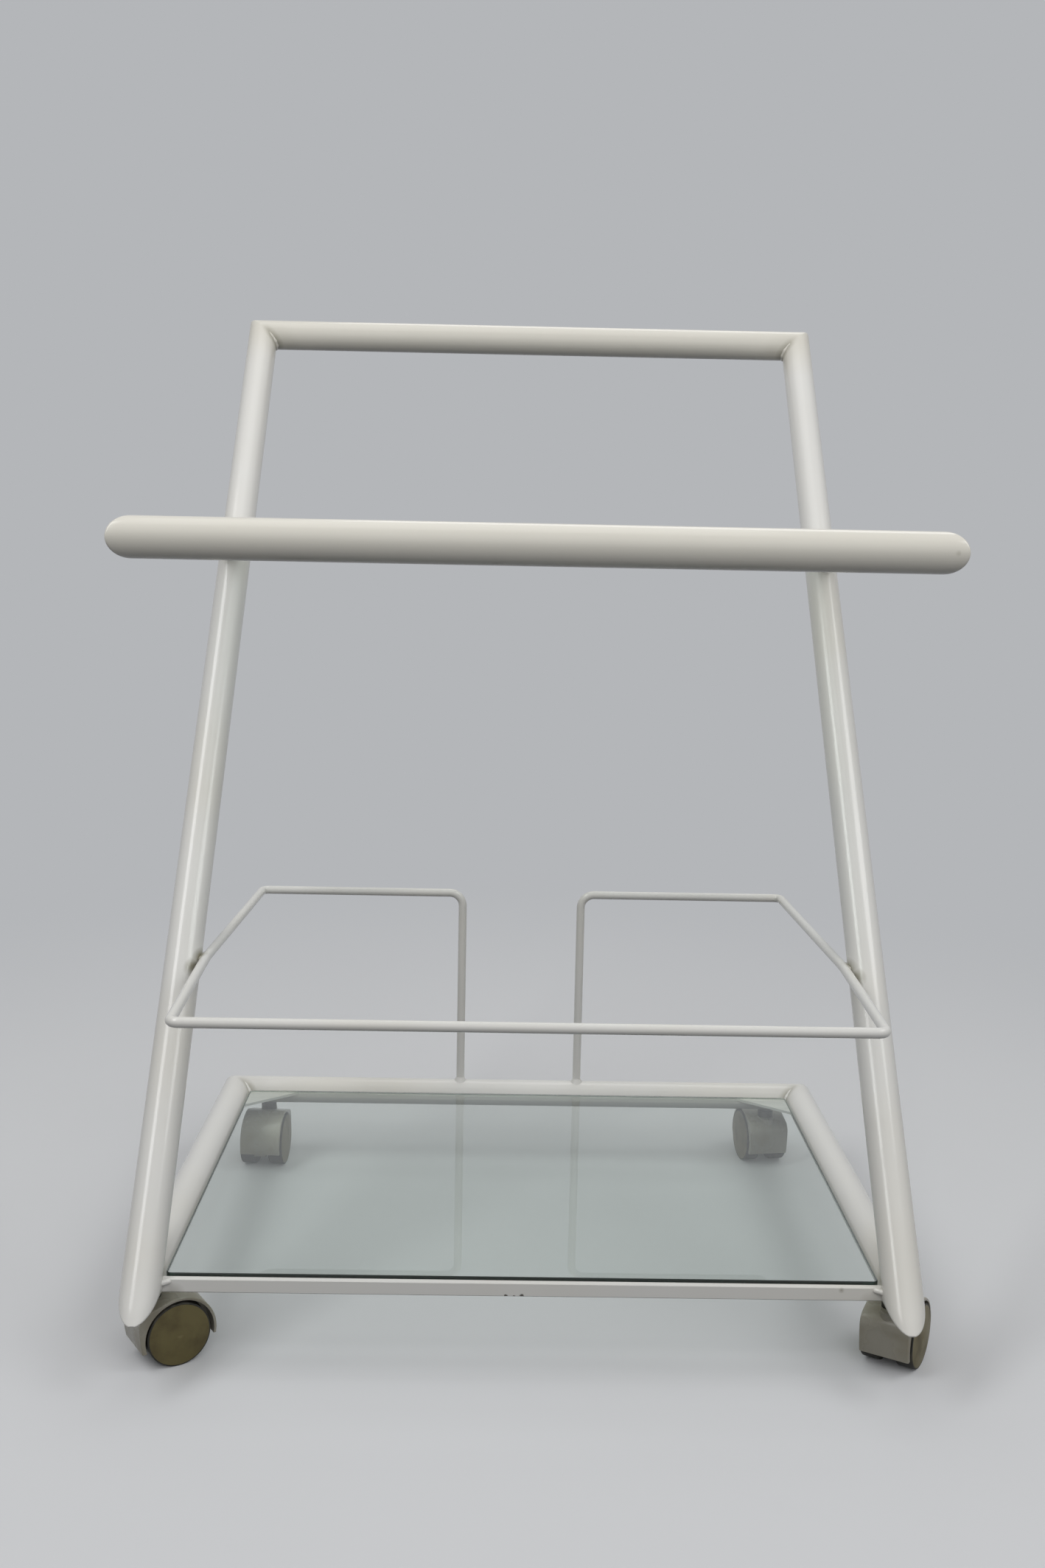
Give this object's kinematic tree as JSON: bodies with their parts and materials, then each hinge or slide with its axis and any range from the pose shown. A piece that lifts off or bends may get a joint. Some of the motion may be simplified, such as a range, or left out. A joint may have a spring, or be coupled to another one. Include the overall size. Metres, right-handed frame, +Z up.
{
  "type": "serving trolley",
  "caption": "Z-profile serving trolley of mitred round steel tube with a glass shelf above and below, a bent wire gallery, a push bar and hooded twin-wheel casters.",
  "frame": {"origin": "on the floor, midway between the side tubes, under the corners where the leaning uprights meet the base", "axes": "+Z up, +X to the right seen from the open front, +Y towards the handle; the front is at -Y"},
  "size_m": [0.6334, 0.6756, 0.858],
  "materials": {
    "lacquer": "satin-gloss cream-white lacquer",
    "glass": "clear float glass with a faint green edge",
    "hood_plastic": "glossy pale grey",
    "cap_plastic": "satin olive-tan",
    "tread": "dull near-black",
    "black_plastic": "black sleeve",
    "dark_steel": "black oxide",
    "steel": "bright turned"
  },
  "bodies": {
    "frame": {"left_upright": "lacquer", "right_upright": "lacquer", "left_base_tube": "lacquer", "right_base_tube": "lacquer", "rear_base_tube": "lacquer", "left_shelf_tube": "lacquer", "right_shelf_tube": "lacquer", "shelf_front_bar": "lacquer", "handle_bar": "lacquer", "left_base_plate": "lacquer", "right_base_plate": "lacquer", "left_shelf_plate": "lacquer", "right_shelf_plate": "lacquer", "base_front_strip": "lacquer", "shelf_rear_strip": "lacquer", "lower_glass": "glass", "upper_glass": "glass", "gallery_rail": "lacquer", "front_left_socket": "black_plastic", "front_right_socket": "black_plastic", "rear_left_socket": "black_plastic", "rear_right_socket": "black_plastic"},
    "front_left_swivel": {"front_left_stem": "dark_steel", "front_left_hood": "hood_plastic", "front_left_axle": "steel"},
    "front_left_roller_a": {"front_left_wheel_a": "tread", "front_left_cap_a": "cap_plastic"},
    "front_left_roller_b": {"front_left_wheel_b": "tread", "front_left_cap_b": "cap_plastic"},
    "front_right_swivel": {"front_right_stem": "dark_steel", "front_right_hood": "hood_plastic", "front_right_axle": "steel"},
    "front_right_roller_a": {"front_right_wheel_a": "tread", "front_right_cap_a": "cap_plastic"},
    "front_right_roller_b": {"front_right_wheel_b": "tread", "front_right_cap_b": "cap_plastic"},
    "rear_left_swivel": {"rear_left_stem": "dark_steel", "rear_left_hood": "hood_plastic", "rear_left_axle": "steel"},
    "rear_left_roller_a": {"rear_left_wheel_a": "tread", "rear_left_cap_a": "cap_plastic"},
    "rear_left_roller_b": {"rear_left_wheel_b": "tread", "rear_left_cap_b": "cap_plastic"},
    "rear_right_swivel": {"rear_right_stem": "dark_steel", "rear_right_hood": "hood_plastic", "rear_right_axle": "steel"},
    "rear_right_roller_a": {"rear_right_wheel_a": "tread", "rear_right_cap_a": "cap_plastic"},
    "rear_right_roller_b": {"rear_right_wheel_b": "tread", "rear_right_cap_b": "cap_plastic"}
  },
  "joints": [
    {"name": "front_left_swivel_turn", "type": "hinge", "parent": "frame", "child": "front_left_swivel", "pos_m": [-0.285, 0.032, 0.058], "axis": [0, 0, 1], "continuous": true},
    {"name": "front_left_roll_a", "type": "hinge", "parent": "front_left_swivel", "child": "front_left_roller_a", "pos_m": [-0.27228, 0.03995, 0.025], "axis": [-0.5299, 0.848, 0], "continuous": true},
    {"name": "front_left_roll_b", "type": "hinge", "parent": "front_left_swivel", "child": "front_left_roller_b", "pos_m": [-0.27228, 0.03995, 0.025], "axis": [-0.5299, 0.848, 0], "continuous": true},
    {"name": "front_right_swivel_turn", "type": "hinge", "parent": "frame", "child": "front_right_swivel", "pos_m": [0.285, 0.032, 0.058], "axis": [0, 0, 1], "continuous": true},
    {"name": "front_right_roll_a", "type": "hinge", "parent": "front_right_swivel", "child": "front_right_roller_a", "pos_m": [0.29273, 0.04486, 0.025], "axis": [-0.8572, 0.515, 0], "continuous": true},
    {"name": "front_right_roll_b", "type": "hinge", "parent": "front_right_swivel", "child": "front_right_roller_b", "pos_m": [0.29273, 0.04486, 0.025], "axis": [-0.8572, 0.515, 0], "continuous": true},
    {"name": "rear_left_swivel_turn", "type": "hinge", "parent": "frame", "child": "rear_left_swivel", "pos_m": [-0.253, 0.43, 0.058], "axis": [0, 0, 1], "continuous": true},
    {"name": "rear_left_roll_a", "type": "hinge", "parent": "rear_left_swivel", "child": "rear_left_roller_a", "pos_m": [-0.25405, 0.41504, 0.025], "axis": [0.9976, -0.0698, 0], "continuous": true},
    {"name": "rear_left_roll_b", "type": "hinge", "parent": "rear_left_swivel", "child": "rear_left_roller_b", "pos_m": [-0.25405, 0.41504, 0.025], "axis": [0.9976, -0.0698, 0], "continuous": true},
    {"name": "rear_right_swivel_turn", "type": "hinge", "parent": "frame", "child": "rear_right_swivel", "pos_m": [0.253, 0.43, 0.058], "axis": [0, 0, 1], "continuous": true},
    {"name": "rear_right_roll_a", "type": "hinge", "parent": "rear_right_swivel", "child": "rear_right_roller_a", "pos_m": [0.25065, 0.44482, 0.025], "axis": [-0.9877, -0.1564, 0], "continuous": true},
    {"name": "rear_right_roll_b", "type": "hinge", "parent": "rear_right_swivel", "child": "rear_right_roller_b", "pos_m": [0.25065, 0.44482, 0.025], "axis": [-0.9877, -0.1564, 0], "continuous": true}
  ]
}
